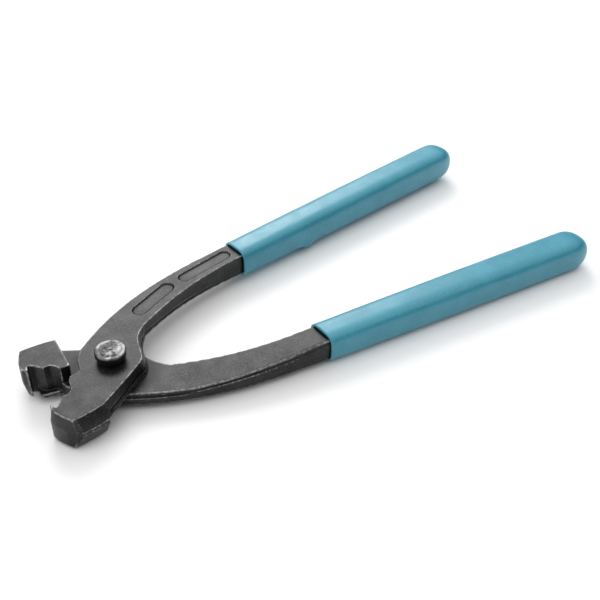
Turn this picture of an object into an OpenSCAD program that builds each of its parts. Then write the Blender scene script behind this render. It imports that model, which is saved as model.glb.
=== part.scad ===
// Ear-clamp pincers: two drop-forged levers that cross at one rivet, with dipped grips.
// Both levers come from one forging; the lower one is the same piece turned over.
//
// Frame: the origin is on the rivet's axis, at the flat underside of its lower head.
// +X runs back towards the grips, +Y towards the upper lever's grip, +Z up along the rivet.
//
// The forging is drawn in its own frame: the rivet's axis on Z, the face that meets the other
// lever at z = 0, its own outer face at z = lever_t, and its grip running along +X. In that
// frame two closed levers have parallel grips.

/* [Overall] */
// Rivet axis to the closed end of a grip
handle_reach = 188; // [165:1:230]
// Rivet axis to the front of the jaws
jaw_reach = 27.4; // [24:0.5:33]
// Middle of the tool to the middle of a grip, when the grips are parallel
grip_spread = 21.7; // [19:0.5:26]
// Angle between the grips as the tool lies at rest
rest_opening = 11.6; // [6:0.2:20]

/* [Forging] */
// Thickness of one lever where the two cross
lever_t = 5.1; // [4:0.1:6.5]
// Thickness of an arm where it enters its grip
arm_t = 8.6; // [7:0.1:10]
// Width of an arm where it enters its grip
arm_w = 9.4; // [8:0.1:11]
// Radius of the waist of the forging around the rivet
joint_r = 11; // [9:0.5:13]
// How far the forged side wall stands out at the parting line, along the jaw
jaw_bulge = 2.6; // [1:0.1:3]
// The same along the arms
arm_bulge = 0.6; // [0.2:0.1:1]
// Height of the trimmed flash band along the parting line
flash_band = 1.8; // [1:0.1:2.5]

/* [Jaws] */
// Half of the width across the two closed jaws
jaw_half_w = 17; // [14.5:0.5:20.5]
// Half of the gap between the hooked lips when the tool is closed
lip_half_gap = 6; // [4.5:0.5:7]
// Thickness of a hooked lip
lip_t = 1.2; // [0.9:0.1:1.6]
// Depth of the pocket behind a lip
lip_depth = 2.3; // [1.5:0.1:3]
// How far a jaw block stands past the outer face of the other lever
jaw_rise = 1.6; // [1:0.1:3]
// How far the jaw's front stands forward below its outer face
jaw_lean = 1; // [0:0.1:1.5]
// Inward reach and thickness of the ledge along the foot of each jaw's mouth
ledge_reach = 1.8; // [1:0.1:2.5]
ledge_t = 1.5; // [1:0.1:2.5]

/* [Recesses] */
// Width of the two long recesses in each lever's outer face
recess_w = 5.6; // [4:0.1:7]
// Depth of the recesses
recess_depth = 0.5; // [0.2:0.1:1]

/* [Rivet] */
// Radius of the rivet's shank
shank_r = 4; // [3:0.1:5]
// Radius of the rivet's heads
head_r = 5.3; // [5.3:0.1:7]
// Height of the upper head
upper_head_h = 4.2; // [2.5:0.1:5]
// Height of the lower head, which the tool rests on
lower_head_h = 2.6; // [2.5:0.1:4]

/* [Grips] */
// Rivet axis to the open rim of a grip
rim_reach = 69.5; // [60:1:80]
// Thickness of the dipped wall at the rim
dip_wall = 1.7; // [1.2:0.1:2.5]
// How much wider a grip is near its closed end than at its rim
grip_swell = 1.5; // [0:0.1:3]
// Thickness of the dip over the end of the arm
dip_end = 4; // [2:0.5:6]

/* [Hidden] */

// Clearances
turning_clearance = 0.05;   // between the shank and the upper lever's bore, on the radius
fixed_clearance = 0.01;     // between the shank and the lower lever's bore, on the radius
face_gap = 0.1;             // between the two levers' meeting faces
head_gap = 0.04;            // under the upper head

// Heights in the tool's frame
meet_z = lower_head_h + lever_t + face_gap / 2;     // the plane where the levers meet
top_z = meet_z + face_gap / 2 + lever_t;            // the upper lever's outer face

// The forging's own heights; z = 0 is the meeting plane
own_z = lever_t + face_gap / 2;                     // its outer face
far_z = -(own_z + jaw_rise);                        // the far side of its jaw block
arm_z = own_z - arm_t;                              // the underside of its arm
band_top = 0.35;
band_low = band_top - flash_band;

// Lengthwise places, measured from the rivet
thicken_x = joint_r * 1.65;                 // where the arm starts to thicken
arm_x = rim_reach - 3.5;                    // where the arm has its full section
tang_x = handle_reach - dip_end;            // the end of the arm inside its grip
block_x = joint_r + 2.5;                    // rivet axis to the back of a jaw block
heel_x = jaw_reach - 12.2;                  // rivet axis to the front of the heel
heel_y = 1.6;                               // how far the heel reaches past the middle
heel_clearance = 0.4;
grip_end = 8.5;                             // length of a grip's round end
grip_sides = 32;

// ---- outlines ------------------------------------------------------------------------
// The forged walls lean, so an outline changes with height. Each is drawn by the same curves
// at every level: "arm" and "jaw" say how far that level stands out beyond the outer face
// there, and "lean" how far the jaw's front stands forward.

// A cubic curve from a to d, pulled towards b and c, in n steps; it leaves out its last point
function curve(a, b, c, d, n) =
    [for (i = [0 : n - 1]) let (t = i / n, u = 1 - t)
        u*u*u * a + 3*u*u*t * b + 3*u*t*t * c + t*t*t * d];

outer_y = grip_spread + arm_w / 2;
inner_y = grip_spread - arm_w / 2;

// The ends of each recess: the one nearer the rivet, and the slimmer one near the grip
near_recess = [[joint_r * 1.98, outer_y * 0.58], [joint_r * 3.3, outer_y * 0.742]];
far_recess = [[joint_r * 4.1, outer_y * 0.777], [arm_x - 1.6, grip_spread + 0.2]];
recess_narrowing = 0.6;

// Outer edge of the handle, from the grip round to the neck above the jaw
function handle_outer(arm) =
    curve([arm_x, outer_y + arm], [arm_x * 0.53, outer_y + arm],
          [joint_r * 1.45, outer_y - 3.5 + arm], [-joint_r * 0.46, joint_r * 0.99], 12);

// Neck, from the handle's outer edge down to the heel
neck = curve([-joint_r * 0.46, joint_r * 0.99], [-joint_r * 0.75, joint_r * 0.8],
             [-joint_r * 0.9, joint_r * 0.5], [-joint_r * 0.98, heel_y + 0.7], 5);

// Heel, where the jaw's working edge starts, just across the middle of the tool
heel = [[-joint_r * 0.98, heel_y + 0.7], [-block_x, heel_y], [-heel_x, heel_y],
        [-heel_x - 1.2, 0]];

// Working edge of the jaw from the heel forward: anvil, hollow, pocket and hooked lip
anvil_y = 1 - lip_half_gap;
lip_back_x = lip_t - jaw_reach;
mouth = [
    [-heel_x - 2.3, anvil_y + 1.9], [-heel_x - 3.1, anvil_y + 0.7], [-heel_x - 4.2, anvil_y],
    [lip_back_x + 4.5, anvil_y - 0.1], [lip_back_x + 2.8, anvil_y - 1.7],
    [lip_back_x + 1.5, anvil_y - 2.8], [lip_back_x + 0.2, -lip_half_gap - lip_depth],
    [lip_back_x, -lip_half_gap - 0.2], [0.5 - jaw_reach, -lip_half_gap]
];

// Front of the jaw, slightly bowed, round to its outer corner
function front(lean, jaw) = concat(
    curve([-jaw_reach - lean, -lip_half_gap - 1.8], [-jaw_reach - 0.3 - lean, -lip_half_gap - 4.5],
          [1 - jaw_reach - lean, 3.5 - jaw_half_w], [2.3 - jaw_reach - lean, 0.2 - jaw_half_w], 5),
    [[2.3 - jaw_reach - lean + 0.6 * jaw, 0.2 - jaw_half_w - 0.5 * jaw]]);

// Outer side of the jaw, as far as the back of its block
function jaw_side(jaw) = [[3.2 - jaw_reach + 0.5 * jaw, -jaw_half_w - jaw],
                          [-block_x - 4, -jaw_half_w - 0.1 - jaw]];
function block_back(jaw) = [-block_x, 0.3 - jaw_half_w - jaw];

// From the back of the jaw block round the crotch, and the inner edge of the handle
function crotch(arm, jaw) = concat(
    curve(block_back(jaw), [-joint_r * 0.6, 3.2 - jaw_half_w - 0.8 * jaw],
          [0, -joint_r - arm], [joint_r * 0.56 + arm, -joint_r * 0.72 - arm], 7),
    curve([joint_r * 0.56 + arm, -joint_r * 0.72 - arm], [joint_r * 1.05 + arm, -joint_r * 0.5],
          [joint_r * 0.8 + arm, joint_r * 0.25 - arm],
          [joint_r * 1.65, joint_r * 0.67 - arm * 0.7], 8));
function handle_inner(arm) =
    curve([joint_r * 1.65, joint_r * 0.67 - arm * 0.7], [joint_r * 2.9, joint_r * 1.15 - arm * 0.3],
          [arm_x * 0.68, inner_y - 0.5 - arm * 0.3], [arm_x, inner_y - arm * 0.3], 10);

// The whole forging at one level, anticlockwise
function forging_outline(arm, jaw, lean) = concat(
    handle_outer(arm), neck, heel, mouth, front(lean, jaw), jaw_side(jaw), crotch(2.4 * arm, jaw),
    handle_inner(arm),
    [[arm_x, inner_y - arm * 0.3], [tang_x, inner_y], [tang_x, outer_y]]);

// The jaw block at one level. Its inner back corner stays clear of the other lever's heel.
clear_y = -heel_y - heel_clearance;
function block_outline(jaw, lean) = concat(
    [[-block_x, clear_y], [-heel_x - 1.7, clear_y]], mouth, front(lean, jaw), jaw_side(jaw),
    [block_back(jaw)]);

// ---- solids between outlines ---------------------------------------------------------

// Lifts a flat outline to height z
function at(z, outline) = [for (p = outline) [p[0], p[1], z]];

// Twice the area of triangle a, b, c, positive when it runs anticlockwise
function turn(a, b, c) = (b[0] - a[0]) * (c[1] - a[1]) - (b[1] - a[1]) * (c[0] - a[0]);
function holds(p, a, b, c) = turn(a, b, p) > 0 && turn(b, c, p) > 0 && turn(c, a, p) > 0;

// The first corner at or after j of the ring ids that can be cut off as a triangle
function ear(o, ids, j) =
    let (n = len(ids), a = ids[(j + n - 1) % n], b = ids[j], c = ids[(j + 1) % n])
    turn(o[a], o[b], o[c]) > 0
        && len([for (q = ids) if (holds(o[q], o[a], o[b], o[c])) q]) == 0
        ? j : ear(o, ids, j + 1);

// Triangles that fill outline o, cut off one corner at a time
function fill(o, ids) = len(ids) == 3 ? [ids] :
    let (n = len(ids), j = ear(o, ids, 0))
    concat([[ids[(j + n - 1) % n], ids[j], ids[(j + 1) % n]]],
           fill(o, [for (i = [0 : n - 1]) if (i != j) ids[i]]));

// Joins levels of n points each, from the lowest up, into one closed solid
module loft(levels) {
    n = len(levels[0]);
    m = len(levels);
    points = [for (level = levels) each level];
    ids = [for (i = [0 : n - 1]) i];
    sides = [for (j = [0 : m - 2]) for (i = ids) let (k = (i + 1) % n)
        each [[j*n + i, (j+1)*n + i, (j+1)*n + k], [j*n + i, (j+1)*n + k, j*n + k]]];
    lid = [for (f = fill(levels[m - 1], ids)) [for (i = [2, 1, 0]) (m - 1) * n + f[i]]];
    base = fill(levels[0], ids);
    polyhedron(points, concat(sides, lid, base), convexity = 8);
}

// What the forging keeps of its full height: a flat lap around the rivet, and an arm that
// thickens towards its grip
module side_profile() {
    far = handle_reach + 10;
    rotate([90, 0, 0])
        linear_extrude(height = 6 * jaw_half_w, center = true)
            polygon([[-far, face_gap / 2], [thicken_x, face_gap / 2], [arm_x, arm_z],
                     [far, arm_z], [far, own_z + 1], [-far, own_z + 1]]);
}

// A long recess with round ends from a to b, cut into the outer face
module recess(a, b, width) {
    d = b - a;
    depth = recess_depth + 1;
    translate([a[0], a[1], own_z - recess_depth])
        rotate(atan2(d[1], d[0])) {
            cylinder(h = depth, d = width, $fn = 48);
            translate([norm(d), 0, 0]) cylinder(h = depth, d = width, $fn = 48);
            translate([0, -width / 2, 0]) cube([norm(d), width, depth]);
        }
}

// The ledge along the foot of the mouth, between z and z + ledge_t
module ledge(z) {
    back = -heel_x - 1.7;
    top = anvil_y + ledge_reach;
    translate([0, 0, z])
        linear_extrude(height = ledge_t)
            polygon([[back, clear_y], [back - 0.6, top + 0.6], [lip_back_x + 1.8, top - 0.3],
                     [lip_back_x + 1.8, anvil_y - 4], [back, anvil_y - 4]]);
}

// ---- pieces --------------------------------------------------------------------------

// The flat lap, the arm and the outer half of the jaw, with leaning walls
module lever_body() {
    intersection() {
        loft([at(arm_z - 1, forging_outline(0, jaw_bulge, jaw_lean)),
              at(band_low, forging_outline(arm_bulge, jaw_bulge, jaw_lean)),
              at(band_top, forging_outline(arm_bulge, jaw_bulge, jaw_lean)),
              at(own_z, forging_outline(0, 0, 0))]);
        side_profile();
    }
}

// The jaw block, as deep as both levers together
module jaw_block() {
    loft([at(far_z, block_outline(0, jaw_lean)), at(band_low, block_outline(jaw_bulge, jaw_lean)),
          at(band_top, block_outline(jaw_bulge, jaw_lean)), at(own_z, block_outline(0, 0))]);
}

// One forging with its bore; the ledge's height depends on which lever it becomes
module forging(bore_r, ledge_z) {
    difference() {
        union() {
            lever_body();
            jaw_block();
            ledge(ledge_z);
        }
        translate([0, 0, far_z - 1]) cylinder(h = own_z - far_z + 2, r = bore_r, $fn = 96);
        recess(near_recess[0], near_recess[1], recess_w);
        recess(far_recess[0], far_recess[1], recess_w - recess_narrowing);
    }
}

// A grip's cross-section, a rectangle with full round corners, at x along the arm
function grip_section(x, w, h) =
    [for (i = [0 : grip_sides - 1])
        let (a = 360 * i / grip_sides, c = cos(a), s = sin(a))
        [sign(c) * pow(abs(c), 0.62) * w / 2, sign(s) * pow(abs(s), 0.62) * h / 2, x]];

// A dipped sleeve around the end of an arm, swelling towards its round closed end
module sleeve() {
    w = arm_w + 2 * dip_wall;
    h = arm_t + 2 * dip_wall;
    end_w = w + grip_swell;
    end_h = h + grip_swell;
    end_x = handle_reach - grip_end;
    along = [for (i = [0 : 6]) let (t = i / 6, s = grip_swell * t * (2 - t))
        grip_section(rim_reach + (end_x - rim_reach) * t, w + s, h + s)];
    tip = [for (a = [20, 38, 54, 68, 80])
        grip_section(end_x + grip_end * sin(a), end_w * cos(0.85 * a), end_h * cos(0.85 * a))];
    cap = [grip_section(handle_reach, end_w * 0.2, end_h * 0.2)];
    difference() {
        translate([0, grip_spread, own_z - arm_t / 2])
            rotate([90, 0, 90]) loft(concat(along, tip, cap));
        lever_body();
    }
}

// Places a piece of the forging's frame on the upper or the lower lever
module on_upper() { translate([0, 0, meet_z]) rotate(rest_opening / 2) children(); }
module on_lower() { mirror_over() on_upper() children(); }
module mirror_over() { translate([0, 0, 2 * meet_z]) rotate([180, 0, 0]) children(); }

module upper_lever() {
    color([0.22, 0.22, 0.23]) on_upper() forging(shank_r + turning_clearance, far_z);
}

module lower_lever() {
    color([0.22, 0.22, 0.23]) on_lower() forging(shank_r + fixed_clearance, own_z - ledge_t);
}

module pivot_rivet() {
    bevel = 0.6;
    foot_r = head_r - 0.7;      // the upper head is undercut: its foot is narrower
    foot_h = 2;
    bottom = lower_head_h;
    under = top_z + head_gap;
    top = under + upper_head_h;
    color([0.55, 0.55, 0.56])
        rotate_extrude($fn = 96)
            polygon([[0, 0], [head_r - 1.5, 0], [head_r - 0.3, bottom * 0.35],
                     [head_r, bottom * 0.7], [head_r, bottom], [shank_r, bottom],
                     [shank_r, under], [foot_r, under], [head_r, under + foot_h],
                     [head_r, top - 2 * bevel],
                     [head_r - bevel / 2, top - bevel], [head_r - 2 * bevel, top - bevel / 3],
                     [head_r - 4 * bevel, top], [0, top]]);
}

module upper_grip() { color([0.25, 0.58, 0.68]) on_upper() sleeve(); }
module lower_grip() { color([0.25, 0.58, 0.68]) on_lower() sleeve(); }

upper_lever();
lower_lever();
pivot_rivet();
upper_grip();
lower_grip();
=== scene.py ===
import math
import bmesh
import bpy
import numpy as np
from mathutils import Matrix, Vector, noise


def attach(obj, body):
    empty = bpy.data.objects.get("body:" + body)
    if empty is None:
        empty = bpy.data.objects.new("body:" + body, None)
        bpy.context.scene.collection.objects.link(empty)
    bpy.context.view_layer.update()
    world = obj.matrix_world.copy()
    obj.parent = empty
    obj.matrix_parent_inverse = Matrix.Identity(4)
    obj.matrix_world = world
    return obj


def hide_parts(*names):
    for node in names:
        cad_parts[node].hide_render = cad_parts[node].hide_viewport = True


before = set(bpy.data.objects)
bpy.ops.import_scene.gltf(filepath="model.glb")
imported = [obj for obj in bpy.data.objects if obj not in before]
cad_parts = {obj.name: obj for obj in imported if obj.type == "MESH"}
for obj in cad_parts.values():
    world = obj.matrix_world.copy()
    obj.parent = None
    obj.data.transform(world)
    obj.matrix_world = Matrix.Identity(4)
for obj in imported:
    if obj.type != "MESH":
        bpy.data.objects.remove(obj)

# %% [markdown]
# # Ear-clamp pincers
# This is a hand tool for closing the small ear on a metal hose clamp. Two forged steel
# levers cross at one rivet, and each has a vinyl grip that was dipped on.
# The solid model already has every piece at its true size and in its place. What is left
# is the look: edges that are worn, walls that were never machined, and soft vinyl.
# First the scene is emptied of what a new file starts with.

for leftover in ("Cube", "Light", "Camera"):
    if leftover in bpy.data.objects:
        bpy.data.objects.remove(bpy.data.objects[leftover], do_unlink=True)

MM = 0.001
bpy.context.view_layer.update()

# %% [markdown]
# Both levers come out of one forging die. The lower one is the same piece turned over,
# half a turn about the long axis, so everything is shaped once in the die's own frame:
# the rivet's axis is the z axis, the face that meets the other lever is z = 0, and the
# grip runs along x. Two small matrices then carry a finished piece to its place.

# %% The die's frame and the two places in it
MEET_Z = 7.75 * MM          # where the two levers meet, above the floor
TURN = math.radians(5.8)    # each lever's share of the angle between the grips
OWN_Z = 5.15 * MM           # the forging's outer face
BAND_LOW, BAND_TOP = -1.45 * MM, 0.35 * MM      # the trimmed band on the parting line
RIM_X, END_X = 69.5 * MM, 188 * MM              # where a grip starts and ends
ARM_W, ARM_T = 9.4 * MM, 8.6 * MM               # an arm where it enters its grip
GRIP_Y, GRIP_Z = 21.7 * MM, OWN_Z - ARM_T / 2

to_upper = Matrix.Translation((0, 0, MEET_Z)) @ Matrix.Rotation(TURN, 4, "Z")
turn_over = Matrix.Translation((0, 0, 2 * MEET_Z)) @ Matrix.Rotation(math.pi, 4, "X")
to_lower = turn_over @ to_upper
print("the grips stand", round(math.degrees(2 * TURN), 1), "degrees apart")

# %% [markdown]
# A few helpers come first, because every piece goes through them. One puts a finished
# mesh into the scene, rides it on its body and gives it its material. Another reads a
# solid of the model as a clean, closed mesh: the solids arrive as loose triangles, so a
# copy has its corners merged and its normals worked out again. The solid stays as it was.

# %% Helpers that read a solid and add a finished piece
def closed_copy(node_name):
    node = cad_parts[node_name]
    bm = bmesh.new()
    bm.from_mesh(node.data)
    bm.transform(node.matrix_world)
    bmesh.ops.remove_doubles(bm, verts=bm.verts, dist=0.001 * MM)
    bmesh.ops.recalc_face_normals(bm, faces=bm.faces)
    return bm


def add_piece(name, mesh, body, slot_name, material, *stands_for):
    piece = bpy.data.objects.new(name, mesh)
    bpy.context.scene.collection.objects.link(piece)
    mesh.materials.clear()
    mesh.materials.append(material)
    for face in mesh.polygons:
        face.use_smooth = True
    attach(piece, body)
    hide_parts(*stands_for)
    print(name, "has", sum(len(p.vertices) - 2 for p in mesh.polygons), "triangles")
    return piece


def with_modifiers(bm, *modifiers):
    """A mesh of bm after these modifiers, each a (type, settings) pair."""
    mesh = bpy.data.meshes.new("work")
    bm.to_mesh(mesh)
    bm.free()
    work = bpy.data.objects.new("work", mesh)
    bpy.context.scene.collection.objects.link(work)
    for kind, settings in modifiers:
        modifier = work.modifiers.new(kind.lower(), kind)
        for key, value in settings.items():
            setattr(modifier, key, value)
    depsgraph = bpy.context.evaluated_depsgraph_get()
    result = bpy.data.meshes.new_from_object(work.evaluated_get(depsgraph))
    bpy.data.objects.remove(work, do_unlink=True)
    bpy.data.meshes.remove(mesh)
    return result


print("helpers ready")

# %% [markdown]
# Sculpting by numbers needs every point of a mesh as one array. Points can then be
# evened out against their neighbours, and the difference between a point and its evened
# place says how sharply the surface bends there: outward on an edge, inward in a corner.
# A real forging is bright where hands and other tools rub the edges, and the corners,
# where the surface bends inward, get painted shade.

# %% Helpers that work on all points at once
def points_of(mesh):
    flat = np.empty(len(mesh.vertices) * 3, dtype=np.float32)
    mesh.vertices.foreach_get("co", flat)
    return flat.reshape(-1, 3).astype(np.float64)


def normals_of(mesh):
    flat = np.empty(len(mesh.vertices) * 3, dtype=np.float32)
    mesh.vertices.foreach_get("normal", flat)
    return flat.reshape(-1, 3).astype(np.float64)


def put_points(mesh, points):
    mesh.vertices.foreach_set("co", points.astype(np.float32).ravel())
    mesh.update()


def edges_of(mesh):
    flat = np.empty(len(mesh.edges) * 2, dtype=np.int32)
    mesh.edges.foreach_get("vertices", flat)
    return flat.reshape(-1, 2)


def evened(values, edges, rounds):
    """values after each has moved halfway to its neighbours' mean, so many times."""
    count = len(values)
    near = np.bincount(edges.ravel(), minlength=count).reshape(-1, 1)
    for _ in range(rounds):
        total = np.stack([
            np.bincount(edges[:, 0], values[edges[:, 1], i], count)
            + np.bincount(edges[:, 1], values[edges[:, 0], i], count)
            for i in range(values.shape[1])], axis=1)
        values = (values + total / near) / 2
    return values


def step(value, low, high):
    """0 below low, 1 above high and a soft slope between."""
    t = np.clip((value - low) / (high - low), 0, 1)
    return t * t * (3 - 2 * t)


def hill(value, middle, width):
    """1 at the middle, falling to almost nothing about two widths away."""
    return np.exp(-((value - middle) / width) ** 2)


def grain(points, size, seed):
    """Smooth noise from -1 to 1, with lumps about size across."""
    offset = Vector((seed * 7.3, seed * 1.9, seed * 4.1))
    return np.array([noise.noise(Vector(p) / size + offset) for p in points])


def mark(mesh, name, values):
    attribute = mesh.attributes.new(name, "FLOAT", "POINT")
    attribute.data.foreach_set("value", values.astype(np.float32))


print("array helpers ready")

# %% [markdown]
# ## The forged levers
# A drop forging has no sharp line anywhere. The dies round every edge, the walls lean so
# that the piece lets go, and a rough band runs round it where the extra steel was trimmed
# off. The solid has the leaning walls and the band, but its edges are knife sharp.
# A fine voxel remesh turns it into an even skin, and a little evening rounds its edges by
# about a third of a millimetre, as the dies would. Bevels on so many slanting edges would
# cross each other, and this can't fail that way.

# %% Turn a solid lever into an even skin
SKIN = 0.3 * MM         # the size of a voxel
SOFT_ROUNDS = 2         # more rounds would round the edges more


def forged_skin(node_name, place):
    bm = closed_copy(node_name)
    bm.transform(place.inverted())
    mesh = with_modifiers(bm, ("REMESH", {"mode": "VOXEL", "voxel_size": SKIN,
                                          "adaptivity": 0.0}))
    edges = edges_of(mesh)
    put_points(mesh, evened(points_of(mesh), edges, SOFT_ROUNDS))
    print(node_name, "skin has", len(mesh.vertices), "points")
    return mesh, edges


# %% [markdown]
# The skin is then worked like clay, and every move goes inward, so the lever never
# outgrows its solid. The two long recesses come first. On the real arm they are struck by
# the die, so their floors are flat and the foot all round is crisp. Pressing the floors a
# twentieth of a millimetre deeper gives back some of the depth that the evening took.

# %% Press the recesses deeper
JAW_X, LAP_R, ARM_X = -12 * MM, 13 * MM, 19 * MM    # jaw block's back, lap, arm's start
FLOOR_LOW, FLOOR_HIGH = OWN_Z - 0.75 * MM, OWN_Z - 0.3 * MM
PRESSED = 0.05 * MM


def press_recesses(points, normals, edges):
    x, _, z = points.T
    floors = (z > FLOOR_LOW) * (z < FLOOR_HIGH) * (normals[:, 2] > 0.8)
    floors = (floors * (x > ARM_X) * (x < RIM_X)).astype(float).reshape(-1, 1)
    points[:, 2] -= PRESSED * evened(floors, edges, 1)[:, 0]
    print("recess floors pressed:", int(floors.sum()), "points")


# %% [markdown]
# Next come the walls. They were never machined, so they keep the uneven skin of scale that
# was beaten in, while the flat outer faces, ground after forging, are almost smooth. The
# trimmed band is torn, most of all on the jaw blocks' outer sides. Beside it the wall falls
# back in a shallow hollow, and a groove runs above it along the arm and round the lap. All
# of this is one number for each point: how far it goes in.

# %% Work out how rough the walls are
LUMP, PIT = 2.6 * MM, 0.9 * MM                  # how wide the lumps and the pits are
HOLLOW_DEEP, HOLLOW_LONG = 0.34, 1.3 * MM       # the hollow: depth in mm, and reach
ARM_GROOVE_Z, ARM_GROOVE_DEEP = 1.3 * MM, 0.42  # height above the band, and depth in mm
LAP_GROOVE_Z, LAP_GROOVE_DEEP = 1.8 * MM, 0.4
GROOVE_WIDE = 0.42 * MM
ARM_SINKS_X = [18 * MM, 66 * MM]                # between these the arm's underside sinks


def wall_depth(points, normals, seed):
    """How far in each point goes, in mm."""
    x, _, z = points.T
    outward = step(-normals[:, 1], 0.6, 0.85)
    wall = 1 - step(np.abs(normals[:, 2]), 0.45, 0.85)
    jaw = (1 - step(x, -4 * MM, 4 * MM)) * outward
    outside = 1 - (x < JAW_X) * (1 - outward)       # 0 on the mouth's own walls
    in_arm = step(x, ARM_X - 3 * MM, ARM_X + 3 * MM)
    on_lap = (1 - in_arm) * step(x, JAW_X - 1 * MM, JAW_X + 1 * MM)

    lumps = grain(points, LUMP, seed)
    fine = grain(points, PIT, seed + 1)
    in_wall = (0.3 + 0.7 * outside) * (0.03 * (1 - lumps) + 0.025 * (1 - fine))
    band = step(z, BAND_LOW - 0.3 * MM, BAND_LOW + 0.2 * MM) \
        * (1 - step(z, BAND_TOP - 0.2 * MM, BAND_TOP + 0.3 * MM))
    in_wall += band * (0.04 + 0.1 * jaw) * outside * (1 - fine)

    beyond = np.maximum(z - BAND_TOP, 0) + np.maximum(BAND_LOW - z, 0)
    hollow = step(beyond, 0, 0.25 * MM) * np.exp(-beyond / HOLLOW_LONG)
    in_wall += HOLLOW_DEEP * hollow * outside * (1 - in_arm)
    above_band = z - np.interp(x, ARM_SINKS_X, [0, OWN_Z - ARM_T])
    in_wall += ARM_GROOVE_DEEP * hill(above_band, ARM_GROOVE_Z, GROOVE_WIDE) * in_arm
    in_wall += LAP_GROOVE_DEEP * hill(z, LAP_GROOVE_Z, GROOVE_WIDE) * on_lap

    depth = wall * in_wall + (1 - wall) * 0.012 * (1 - lumps)
    return depth * (0.25 + 0.75 * step(OWN_Z - z, 0.3 * MM, 1.3 * MM))


# %% [markdown]
# The moves are then made, and the underside's edges are evened a few times more, because
# nobody ground that side. Last, the skin is marked for its finish: where it bends outward
# it will be worn bright, where it bends inward it gets painted shade, and round the rivet,
# on the faces that rub on each other, it gets painted shade as well.

# %% Move the points and mark the skin
def work_skin(mesh, edges, seed):
    points, normals = points_of(mesh), normals_of(mesh)
    press_recesses(points, normals, edges)
    depth = wall_depth(points, normals, seed)
    points -= normals * (depth * MM).reshape(-1, 1)
    put_points(mesh, points)

    softer = evened(points, edges, 6)
    under = (1 - step(points[:, 2], -0.9 * MM, -0.3 * MM)) \
        * step(points[:, 0], 8 * MM, 14 * MM)
    points += (softer - points) * under.reshape(-1, 1)
    put_points(mesh, points)
    print("rough walls: up to", round(depth.max(), 2), "mm deep")


def mark_skin(mesh, edges):
    points, normals = points_of(mesh), normals_of(mesh)
    sharp = ((points - evened(points, edges, 8)) * normals).sum(axis=1) / SKIN
    broad = ((points - evened(points, edges, 40)) * normals).sum(axis=1) / SKIN
    mark(mesh, "worn", np.clip(sharp * 2.8, 0, 1))
    # Painted shade: corners and recess feet, where the skin bends inward, are marked to be
    # darkened.
    mark(mesh, "corner", np.clip(-sharp * 2.0 - broad * 0.5, 0, 1))
    # Painted shade: the faces that meet the other lever, near the rivet, are marked to be
    # darkened as if shaded by the lever above.
    meeting = step(-normals[:, 2], 0.5, 0.9) * step(points[:, 2], -0.4 * MM, -0.1 * MM)
    reach = np.hypot(points[:, 0], points[:, 1])
    lap_shade = meeting * (1 - step(reach, LAP_R, LAP_R + 5 * MM))
    mark(mesh, "lap_shade", lap_shade)
    print("worn points:", int((sharp * 2.8 > 0.5).sum()), "lap_shaded:", int(lap_shade.sum()))


# %% [markdown]
# Inside its grip an arm is a plain bar that nobody sees, yet the skin spends half of its
# faces there. Those faces are thinned out, and the faces in view are left alone. A vertex
# group tells the Decimate modifier which faces it may merge.

# %% Thin out the skin inside the grips
KEPT_IN_GRIP = 6 * MM       # the part of the arm behind the rim that stays fine
HIDDEN_CUT = 0.93           # the share of the hidden faces that goes


def thinned(mesh):
    work = bpy.data.objects.new("thin", mesh)
    bpy.context.scene.collection.objects.link(work)
    hidden = work.vertex_groups.new(name="hidden")
    inside = [v.index for v in mesh.vertices if v.co.x > RIM_X + KEPT_IN_GRIP]
    hidden.add(inside, 1.0, "REPLACE")
    thin = work.modifiers.new("thin", "DECIMATE")
    thin.vertex_group = "hidden"
    thin.ratio = 1 - HIDDEN_CUT * len(inside) / len(mesh.vertices)
    result = bpy.data.meshes.new_from_object(
        work.evaluated_get(bpy.context.evaluated_depsgraph_get()))
    bpy.data.objects.remove(work, do_unlink=True)
    print("thinned to", len(result.vertices), "points")
    return result


# %% [markdown]
# ## The steel's finish
# A material is a web of nodes, and writing each link out would bury what it is meant to
# look like. A small kit keeps it readable: most of its methods add a node or two, feed them
# and give back the socket that carries the answer.

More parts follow.
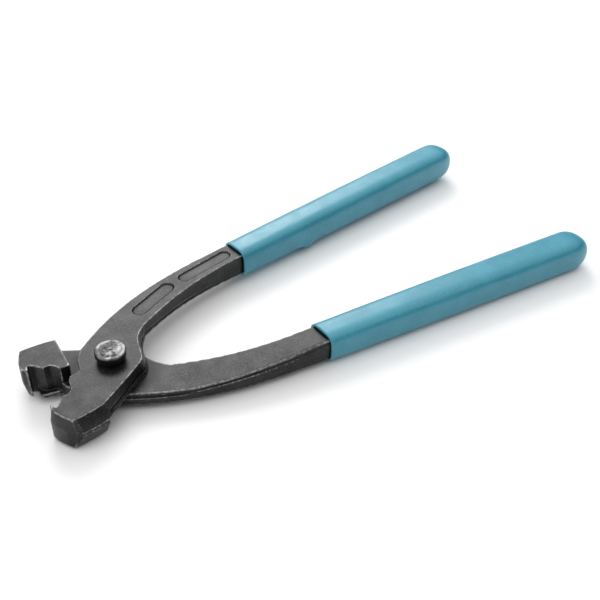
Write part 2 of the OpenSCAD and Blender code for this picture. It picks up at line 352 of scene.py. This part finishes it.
# %% A small kit for node materials
class Nodes:
    def __init__(self, name, colour):
        self.material = bpy.data.materials.new(name)
        self.material.use_nodes = True
        self.material.diffuse_color = (*colour, 1)
        self.tree = self.material.node_tree
        self.shader = self.tree.nodes["Principled BSDF"]
        self.where = self.add("ShaderNodeTexCoord").outputs["Object"]

    def add(self, kind, **settings):
        node = self.tree.nodes.new(kind)
        for key, value in settings.items():
            setattr(node, key, value)
        return node

    def feed(self, socket, value):
        if isinstance(value, bpy.types.NodeSocket):
            self.tree.links.new(value, socket)
        else:
            socket.default_value = value

    def noise(self, size, detail=2.0, stretch=(1, 1, 1)):
        """Noise with lumps about size metres across."""
        mapping = self.add("ShaderNodeMapping")
        mapping.inputs["Scale"].default_value = stretch
        self.feed(mapping.inputs["Vector"], self.where)
        texture = self.add("ShaderNodeTexNoise")
        texture.inputs["Scale"].default_value = 1 / size
        texture.inputs["Detail"].default_value = detail
        self.feed(texture.inputs["Vector"], mapping.outputs["Vector"])
        return texture.outputs["Fac"]

    def ramp(self, value, low, high, start=0.0, end=1.0):
        node = self.add("ShaderNodeMapRange", interpolation_type="SMOOTHSTEP")
        for socket, number in zip(("From Min", "From Max", "To Min", "To Max"),
                                  (low, high, start, end)):
            node.inputs[socket].default_value = number
        self.feed(node.inputs["Value"], value)
        return node.outputs["Result"]

    def math(self, operation, a, b):
        node = self.add("ShaderNodeMath", operation=operation)
        self.feed(node.inputs[0], a)
        self.feed(node.inputs[1], b)
        return node.outputs["Value"]

    def blend(self, amount, a, b):
        node = self.add("ShaderNodeMix", data_type="RGBA")
        self.feed(node.inputs["Factor"], amount)
        self.feed(node.inputs["A"], a if not isinstance(a, tuple) else (*a, 1))
        self.feed(node.inputs["B"], b if not isinstance(b, tuple) else (*b, 1))
        return node.outputs["Result"]

    def marked(self, name):
        return self.add("ShaderNodeAttribute", attribute_name=name).outputs["Fac"]

    def bump(self, height, distance, strength, under=None):
        node = self.add("ShaderNodeBump")
        node.inputs["Distance"].default_value = distance
        node.inputs["Strength"].default_value = strength
        self.feed(node.inputs["Height"], height)
        if under is not None:
            self.feed(node.inputs["Normal"], under)
        return node.outputs["Normal"]


print("node kit ready")

# %% [markdown]
# Forged tool steel is quenched in oil, which leaves it nearly black, and then the faces
# are rubbed bare again a little. It isn't a mirror and isn't paint: a dark metal with a
# soft, broken gloss. Cloudy noise breaks up the colour and the gloss, a speckle of pits
# lets some bright steel through, the marked edges turn lighter, and the marked corners and
# the faces that meet round the rivet turn darker with painted shade.

# %% The levers' steel
DARK, MIDDLE, BARE = (0.021, 0.021, 0.022), (0.034, 0.034, 0.034), (0.34, 0.335, 0.33)
SCUFFED, PITTED = (0.085, 0.085, 0.085), (0.012, 0.012, 0.012)
# The two darkest tones are painted shade: one for the corners, one for the lap round the rivet.
CORNER_SHADE_TONE, LAP_SHADE_TONE = (0.006, 0.006, 0.006), (0.01, 0.01, 0.01)


def lever_steel():
    n = Nodes("oil_black_steel", MIDDLE)
    cloud = n.noise(7 * MM, 4.0)
    fine = n.noise(0.45 * MM, 3.0)
    speck = n.noise(0.28 * MM, 1.0)
    patch = n.noise(2.2 * MM, 3.0)
    colour = n.blend(n.ramp(cloud, 0.3, 0.7), DARK, MIDDLE)
    colour = n.blend(n.ramp(fine, 0.45, 0.75, 0.0, 0.6), colour, SCUFFED)
    colour = n.blend(n.ramp(fine, 0.42, 0.28, 0.0, 0.6), colour, PITTED)
    bright_speck = n.math("MULTIPLY", n.ramp(speck, 0.64, 0.72), n.ramp(patch, 0.42, 0.62))
    colour = n.blend(n.math("MULTIPLY", bright_speck, 0.32), colour, BARE)
    worn = n.math("MULTIPLY", n.ramp(n.marked("worn"), 0.25, 0.8),
                  n.ramp(n.noise(1.1 * MM, 3.0), 0.35, 0.65, 0.25, 0.85))
    colour = n.blend(worn, colour, BARE)
    # Painted shade: the inward-bending corners and recess feet are darkened.
    colour = n.blend(n.math("MULTIPLY", n.marked("corner"), 0.6), colour, CORNER_SHADE_TONE)
    # Painted shade on the lap faces round the rivet.
    colour = n.blend(n.math("MULTIPLY", n.marked("lap_shade"), 0.7), colour, LAP_SHADE_TONE)
    n.feed(n.shader.inputs["Base Color"], colour)
    n.shader.inputs["Metallic"].default_value = 0.9
    n.feed(n.shader.inputs["Roughness"], n.ramp(fine, 0.3, 0.7, 0.32, 0.46))
    low = n.bump(n.noise(1.6 * MM, 2.0), 0.1 * MM, 0.25)
    n.feed(n.shader.inputs["Normal"], n.bump(fine, 0.06 * MM, 0.5, low))
    return n.material


steel = lever_steel()
print("steel made")

# %% [markdown]
# Both levers go through the same steps. Only the noise starts from another place, because
# no two forgings come out of the die with the same skin.

# %% Build the two levers
for name, node_name, place, body, seed in (
        ("forged_upper_lever", "upper_lever", to_upper, "upper", 11),
        ("forged_lower_lever", "lower_lever", to_lower, "lower", 23)):
    skin, skin_edges = forged_skin(node_name, place)
    work_skin(skin, skin_edges, seed)
    mark_skin(skin, skin_edges)
    skin = thinned(skin)
    skin.transform(place)
    skin.update()
    add_piece(name, skin, body, "lever_steel", steel, node_name)

# %% [markdown]
# ## The rivet
# The rivet is a steel pin whose upper end was hammered over hot. Its head is a thick
# button with a slightly crowned top and a worn rim, and its foot is a little narrower than
# the top, because the steel spread most under the hammer. A profile spun about the axis
# gives all of it. The profile is written as a walk from the middle of the lower head, up
# the outside, to the middle of the upper head.

# %% Helpers that write a profile
def arc(centre, radius, start, end, steps):
    """Points (r, z) on an arc, from angle start to end in degrees."""
    turns = [math.radians(start + (end - start) * i / steps) for i in range(steps + 1)]
    return [(centre[0] + radius * math.cos(t), centre[1] + radius * math.sin(t))
            for t in turns]


def line(a, b, steps):
    """Points from a to b, the last left out."""
    return [(a[0] + (b[0] - a[0]) * i / steps, a[1] + (b[1] - a[1]) * i / steps)
            for i in range(steps)]


print("a quarter turn in 8 steps has", len(arc((0, 0), 1, 0, 90, 8)), "points")

# %% [markdown]
# The spin then carries the profile once round the axis. A full turn ends where it began,
# so the last step is merged with the first, and the points that lie on the axis are merged
# too. The many turns and rings aren't for roundness: they are there for the dents.

# %% Spin the rivet
SHANK_R, HEAD_R, FOOT_R = 4 * MM, 5.3 * MM, 4.6 * MM
LOW_TOP, UNDER, WIDE_Z, TOP = 2.6 * MM, 12.94 * MM, 14.94 * MM, 17.14 * MM
LOW_ROUND, RIM, CROWN = 1.2 * MM, 0.5 * MM, 0.3 * MM
SHOULDER = TOP - CROWN - RIM
TOP_RINGS = 26
TURNS = 128

low_head = line((0, 0), (HEAD_R - LOW_ROUND, 0), 8) \
    + arc((HEAD_R - LOW_ROUND, LOW_ROUND), LOW_ROUND, -90, 0, 8) \
    + [(HEAD_R, LOW_TOP - 0.1 * MM), (HEAD_R - 0.1 * MM, LOW_TOP)]
shank = line((SHANK_R, LOW_TOP), (SHANK_R, UNDER), 6) + [(SHANK_R, UNDER)]
head_side = line((FOOT_R, UNDER), (HEAD_R, WIDE_Z), 9) \
    + line((HEAD_R, WIDE_Z), (HEAD_R, SHOULDER), 4) \
    + arc((HEAD_R - RIM, SHOULDER), RIM, 0, 90, 8)
crown = [((HEAD_R - RIM) * i / TOP_RINGS, TOP - CROWN * (i / TOP_RINGS) ** 2)
         for i in reversed(range(TOP_RINGS))]

rivet_bm = bmesh.new()
spun = [rivet_bm.verts.new((r, 0, z)) for r, z in low_head + shank + head_side + crown]
spun += [rivet_bm.edges.new(pair) for pair in zip(spun, spun[1:])]
bmesh.ops.spin(rivet_bm, geom=spun, cent=(0, 0, 0), axis=(0, 0, 1), angle=2 * math.pi,
               steps=TURNS, use_merge=True, use_duplicate=False)
bmesh.ops.remove_doubles(rivet_bm, verts=rivet_bm.verts, dist=0.002 * MM)
bmesh.ops.recalc_face_normals(rivet_bm, faces=rivet_bm.faces)
rivet_mesh = bpy.data.meshes.new("hammered_rivet")
rivet_bm.to_mesh(rivet_mesh)
rivet_bm.free()
print("rivet has", len(rivet_mesh.vertices), "points")

# %% [markdown]
# The dents are pressed in afterwards by moving points, because hammer blows don't repeat
# around an axis: a few broad blows in the middle, a shallow ring inside the rim, small
# chips, and a slightly uneven side. Masks are kept on the mesh too, so that the finish
# knows where the hammer struck, and where it paints shade: in the corners and down the side.

# %% Hammer the rivet's head
rivet_edges = edges_of(rivet_mesh)
points, normals = points_of(rivet_mesh), normals_of(rivet_mesh)
radius = np.hypot(points[:, 0], points[:, 1])
on_top = step(points[:, 2], TOP - 1.3 * MM, TOP - 0.7 * MM)
blows = step(grain(points, 1.5 * MM, 5), -0.1, 0.45) * (1 - step(radius, 3.4 * MM, 4.6 * MM))
chips = step(grain(points, 0.55 * MM, 9), 0.1, 0.5)
dent = on_top * (0.12 * blows + 0.02 * chips + 0.09 * hill(radius, 3.9 * MM, 0.45 * MM))
uneven = step(grain(points, 1.8 * MM, 3), -0.2, 0.6) * step(radius, SHANK_R, HEAD_R)
dent += 0.05 * (1 - on_top) * uneven
points -= normals * (dent * MM).reshape(-1, 1)
put_points(rivet_mesh, points)
bend = ((points - evened(points, rivet_edges, 6)) * normals_of(rivet_mesh)).sum(axis=1)
mark(rivet_mesh, "worn", np.clip(bend / (0.06 * MM), 0, 1))
# Painted shade: inward bends on the rivet are marked to be darkened.
mark(rivet_mesh, "corner", np.clip(-bend / (0.06 * MM), 0, 1))
mark(rivet_mesh, "struck", on_top * np.clip(1 - 2.2 * blows, 0, 1))
# Painted shade: the head's side below the top is marked to be darkened.
mark(rivet_mesh, "side", 1 - step(points[:, 2], TOP - 1.1 * MM, TOP - 0.5 * MM))
print("deepest dent:", round(dent.max(), 2), "mm")

# %% [markdown]
# The rivet's steel is the brighter of the two where the hammer polished it. Between the
# blows it is grey and blotchy, its rim is worn, and its side and corners get painted
# shade, so they are nearly black.

# %% The rivet's steel
GREY, LIGHT_GREY, POLISHED = (0.035, 0.035, 0.035), (0.07, 0.07, 0.07), (0.3, 0.295, 0.29)
# The darkest tone is painted shade, for the rivet's corners and side.
RUBBED, RIVET_SHADE_TONE = (0.18, 0.178, 0.175), (0.015, 0.015, 0.015)


def rivet_steel():
    n = Nodes("hammered_steel", (0.42, 0.42, 0.43))
    patch = n.noise(3.2 * MM, 3.0)
    fine = n.noise(0.35 * MM, 3.0)
    colour = n.blend(n.ramp(patch, 0.3, 0.7), GREY, LIGHT_GREY)
    struck = n.math("MULTIPLY", n.marked("struck"), n.ramp(patch, 0.42, 0.6))
    colour = n.blend(n.math("MULTIPLY", struck, 0.55), colour, POLISHED)
    worn = n.math("MULTIPLY", n.marked("worn"), n.ramp(fine, 0.3, 0.6, 0.1, 0.5))
    colour = n.blend(worn, colour, RUBBED)
    # Painted shade on the rivet's corners and down its side.
    colour = n.blend(n.math("MULTIPLY", n.marked("corner"), 0.7), colour, RIVET_SHADE_TONE)
    colour = n.blend(n.math("MULTIPLY", n.marked("side"), 0.8), colour, RIVET_SHADE_TONE)
    n.feed(n.shader.inputs["Base Color"], colour)
    n.shader.inputs["Metallic"].default_value = 0.85
    n.feed(n.shader.inputs["Roughness"], n.ramp(fine, 0.3, 0.7, 0.3, 0.5))
    n.feed(n.shader.inputs["Normal"], n.bump(fine, 0.06 * MM, 0.5))
    return n.material


add_piece("hammered_rivet", rivet_mesh, "lower", "rivet_steel", rivet_steel(),
          "pivot_rivet")

# %% [markdown]
# ## The dipped grips
# A grip is made by dipping the hot arm into liquid vinyl and pulling it out slowly. The
# skin is thicker towards the closed end, its rim is a soft lip with a small gap around
# the steel, and a drip can set along the underside. No edge on it is sharp. First, the
# measures: every ring round the arm is a width, a height and how square it is.

# %% Measures of a grip's rings
SIDES = 72
WALL, SWELL, ROUND = 1.7 * MM, 1.5 * MM, 8.5 * MM
FULL_W, FULL_T = ARM_W + 2 * WALL, ARM_T + 2 * WALL
GAP, LIP = 0.35 * MM, 0.6 * MM          # the gap round the arm, and how far the lip rolls
LOOSE = 0.25 * MM                       # a little more gap at the arm's bulging sides
SQUARE, SNUG = 0.62, 0.34               # how square a ring is: outside, and round the arm


def grip_stations():
    """(x, width, height, squareness) of each ring, from inside the rim to the round end."""
    stations = []
    for depth, gap in ((2.2 * MM, 0.4 * GAP), (1.4 * MM, 0.6 * GAP), (0.9 * MM, GAP)):
        stations.append((RIM_X + depth, ARM_W + 2 * (gap + LOOSE), ARM_T + 2 * gap, SNUG))
    for i in range(9):                  # the rolled lip
        roll = math.pi * i / 8
        wall = (WALL - (WALL - GAP) * (1 + math.cos(roll)) / 2)
        loose = LOOSE * (1 - i / 8)
        stations.append((RIM_X + LIP * (1 - math.sin(roll)), ARM_W + 2 * (wall + loose),
                         ARM_T + 2 * wall, SNUG + (SQUARE - SNUG) * i / 8))
    start, end, steps = RIM_X + LIP, END_X - ROUND, 84
    for i in range(1, steps + 1):       # the long, slightly swelling part
        t = i / steps
        more = SWELL * t * (2 - t)
        stations.append((start + (end - start) * t, FULL_W + more, FULL_T + more, SQUARE))
    for i in range(1, 16):              # the round end
        turn = math.pi / 2 * i / 16
        scale = math.cos(turn) ** 0.62
        stations.append((end + ROUND * math.sin(turn), (FULL_W + SWELL) * scale,
                         (FULL_T + SWELL) * scale, SQUARE + 0.3 * math.sin(turn) ** 3))
    return stations


print("a grip has", len(grip_stations()), "rings of", SIDES, "points")

# %% [markdown]
# One ring, extruded again and again along the arm, gives this shape: at each stop the new
# ring is laid out as a rectangle with full round corners. The rings start inside the rim,
# roll over the lip, run back along the arm and close in a round end. Filling both open
# ends closes the skin, so that the arm can be cut out of it later.

# %% Extrude a grip's skin ring by ring
HALF = 0.497        # a hair under one half, so the skin stays inside the solid's flat sides


def rounded(turn, size, square):
    return math.copysign(abs(turn) ** square, turn) * size * HALF


def grip_skin():
    bm = bmesh.new()
    turn_of = bm.verts.layers.float.new("turn")     # each point keeps its place in a ring
    bmesh.ops.create_circle(bm, cap_ends=False, segments=SIDES, radius=1)
    for v in bm.verts:
        v[turn_of] = math.atan2(v.co.y, v.co.x)
    verts, edges = bm.verts[:], bm.edges[:]
    for i, (x, width, height, square) in enumerate(grip_stations()):
        if i > 0:
            grown = bmesh.ops.extrude_edge_only(bm, edges=edges)["geom"]
            verts = [g for g in grown if isinstance(g, bmesh.types.BMVert)]
            edges = [g for g in grown if isinstance(g, bmesh.types.BMEdge) and g.is_boundary]
        for v in verts:
            v.co = (x, GRIP_Y + rounded(math.cos(v[turn_of]), width, square),
                    GRIP_Z + rounded(math.sin(v[turn_of]), height, square))
    lids = bmesh.ops.holes_fill(bm, edges=[e for e in bm.edges if e.is_boundary])["faces"]
    poles = bmesh.ops.poke(bm, faces=lids)["verts"]
    max(poles, key=lambda v: v.co.x).co.x = END_X
    bmesh.ops.recalc_face_normals(bm, faces=bm.faces)
    return bm


# %% [markdown]
# Dipped vinyl is never quite even. Slow waves a tenth of a millimetre deep catch the
# light differently along the grip. The upper grip has a small set drip on its lower inner
# edge, and the lower grip went into the bath at a slant, so its rim reaches further along
# the arm's inner side. All three are moves of the points. Then the solid lever is cut out
# of the skin with an exact Boolean, so the sleeve is hollow and fits its arm.

# %% Add the unevenness and the drip, then cut out the arm
WAVE_LONG, WAVE_DEEP = 4 * MM, 0.06 * MM
DRIP_X, DRIP_LONG, DRIP_SIDE = 102 * MM, 2.4 * MM, Vector((0, -0.72, -0.69))


def soften(bm, seed, drip, slant):
    """Slant the rim, wave the skin and hang a drip of this height on it."""
    bm.normal_update()
    for v in bm.verts:
        inner = max(0.0, 0.5 - (v.co.y - GRIP_Y) / FULL_W)
        v.co.x -= slant * inner * hill(v.co.x, RIM_X, 9 * MM)
        if v.co.x < RIM_X + 2 * LIP:
            continue
        spot = Vector((v.co.x / 3, v.co.y, v.co.z)) / WAVE_LONG
        v.co -= v.normal * WAVE_DEEP * (1 + noise.noise(spot + Vector((seed, 0, 0))))
        side = Vector((0, v.co.y - GRIP_Y, v.co.z - GRIP_Z)).normalized()
        down = max(0.0, side.dot(DRIP_SIDE)) ** 14
        v.co += side * drip * hill(v.co.x, DRIP_X, DRIP_LONG) * down


def dipped_grip(name, lever_name, place, seed, drip, slant):
    bm = grip_skin()
    soften(bm, seed, drip, slant)
    arm = bpy.data.meshes.new("arm")
    arm_bm = closed_copy(lever_name)
    arm_bm.transform(place.inverted())
    arm_bm.to_mesh(arm)
    arm_bm.free()
    cutter = bpy.data.objects.new("arm", arm)
    bpy.context.scene.collection.objects.link(cutter)
    mesh = with_modifiers(bm, ("BOOLEAN", {"operation": "DIFFERENCE", "object": cutter,
                                           "solver": "EXACT"}))
    bpy.data.objects.remove(cutter, do_unlink=True)
    bpy.data.meshes.remove(arm)
    mesh.transform(place)
    mesh.update()
    mesh.name = name
    return mesh


# %% [markdown]
# ## The vinyl
# Dipped vinyl is a soft plastic with its colour all the way through. It has a satin skin:
# a wide, blurred highlight, broken by a very fine stipple that the cooling skin leaves. A
# weak clear coat over it stands for the smooth film on top. The colour is one blue with
# faint clouds in it, and the crests of the stipple are a touch paler.

# %% The grips' vinyl
DEEP_BLUE, BLUE, PALE_BLUE = (0.019, 0.228, 0.318), (0.027, 0.257, 0.355), (0.1, 0.4, 0.51)


def vinyl():
    n = Nodes("dipped_vinyl", (0.10, 0.36, 0.46))
    cloud = n.noise(9 * MM, 2.0)
    stipple = n.noise(0.55 * MM, 2.0)
    colour = n.blend(n.ramp(cloud, 0.3, 0.7), DEEP_BLUE, BLUE)
    colour = n.blend(n.ramp(stipple, 0.5, 0.72, 0.0, 0.3), colour, PALE_BLUE)
    n.feed(n.shader.inputs["Base Color"], colour)
    satin = n.math("ADD", n.ramp(stipple, 0.3, 0.7, 0.0, 0.14),
                   n.ramp(n.noise(4 * MM, 2.0), 0.35, 0.65, 0.3, 0.42))
    n.feed(n.shader.inputs["Roughness"], satin)
    n.shader.inputs["Specular IOR Level"].default_value = 0.5
    n.shader.inputs["Coat Weight"].default_value = 0.4
    n.shader.inputs["Coat Roughness"].default_value = 0.34
    n.feed(n.shader.inputs["Normal"], n.bump(stipple, 0.1 * MM, 0.55))
    return n.material


grip_vinyl = vinyl()
for name, node_name, lever_name, place, body, seed, drip, slant in (
        ("dipped_upper_grip", "upper_grip", "upper_lever", to_upper, "upper", 2, 1.3 * MM,
         0.2 * MM),
        ("dipped_lower_grip", "lower_grip", "lower_lever", to_lower, "lower", 6, 0.0,
         1.7 * MM)):
    grip = dipped_grip(name, lever_name, place, seed, drip, slant)
    add_piece(name, grip, body, "grip_vinyl", grip_vinyl, node_name)

# %% [markdown]
# ## Floor, light and camera
# The tool lies on a plain white floor, as in a small studio tent. The floor is a single
# large square, quite dull, so it shows nothing but a soft shadow.

# %% Floor
floor_mesh = bpy.data.meshes.new("floor")
floor_bm = bmesh.new()
bmesh.ops.create_grid(floor_bm, x_segments=1, y_segments=1, size=3)
floor_bm.to_mesh(floor_mesh)
floor_bm.free()
floor = bpy.data.objects.new("floor", floor_mesh)
bpy.context.scene.collection.objects.link(floor)
paper = bpy.data.materials.new("white_paper")
paper.use_nodes = True
paper_shader = paper.node_tree.nodes["Principled BSDF"]
paper_shader.inputs["Base Color"].default_value = (0.9, 0.9, 0.9, 1)
paper_shader.inputs["Roughness"].default_value = 1.0
paper_shader.inputs["Specular IOR Level"].default_value = 0.0
floor_mesh.materials.append(paper)
print("floor is", round(floor.dimensions.x, 1), "m across")

# %% [markdown]
# One very wide lamp hangs far above, like the tent's roof, and lights everything evenly. A
# small one behind the tool, towards its grips, makes the flat faces shine where the arms
# enter the grips, so the walls look dark beside them. A weak one beyond the jaws keeps
# those walls readable. The room gives very little light of its own, but the camera sees it
# pale: the Light Path node tells the two apart.

# %% Lamps and room
MIDDLE_OF_TOOL = Vector((0.085, 0, 0.008))
ROOM_LIGHT, ROOM_SEEN = 0.06, 0.95


def lamp(name, place, size, watts):
    light = bpy.data.lights.new(name, "AREA")
    light.shape = "RECTANGLE"
    light.size, light.size_y = size
    light.energy = watts
    thing = bpy.data.objects.new(name, light)
    thing.location = place
    thing.rotation_euler = (MIDDLE_OF_TOOL - thing.location).to_track_quat("-Z", "Y").to_euler()
    bpy.context.scene.collection.objects.link(thing)


lamp("tent_top", Vector((0.1, 0.1, 2.2)), (6, 6), 140)
lamp("tent_back", Vector((0.34, 0.62, 0.54)), (0.5, 0.5), 4.3)
lamp("side_fill", Vector((-0.8, 0.0, 0.3)), (0.5, 0.5), 2.0)
world = bpy.data.worlds.new("studio")
world.use_nodes = True
tree = world.node_tree
background = tree.nodes["Background"]
background.inputs["Color"].default_value = (1, 1, 1, 1)
seen = tree.nodes.new("ShaderNodeMapRange")
seen.inputs["To Min"].default_value = ROOM_LIGHT
seen.inputs["To Max"].default_value = ROOM_SEEN
path = tree.nodes.new("ShaderNodeLightPath")
tree.links.new(path.outputs["Is Camera Ray"], seen.inputs["Value"])
tree.links.new(seen.outputs["Result"], background.inputs["Strength"])
bpy.context.scene.world = world
bpy.context.scene.view_settings.view_transform = "Standard"

# %% [markdown]
# The camera looks down at the tool from its jaw end with a 60 mm lens, with both grips
# running away to the upper right.

# %% Camera
lens = bpy.data.cameras.new("camera")
lens.lens, lens.sensor_width = 60, 36
camera = bpy.data.objects.new("camera", lens)
camera.location = (-0.09269, -0.23995, 0.23625)
backward = Vector((-0.4524, -0.6385, 0.6226))
camera.rotation_euler = backward.to_track_quat("Z", "Y").to_euler()
bpy.context.scene.collection.objects.link(camera)
bpy.context.scene.camera = camera
print("camera is", round(camera.location.length, 3), "m from the rivet")
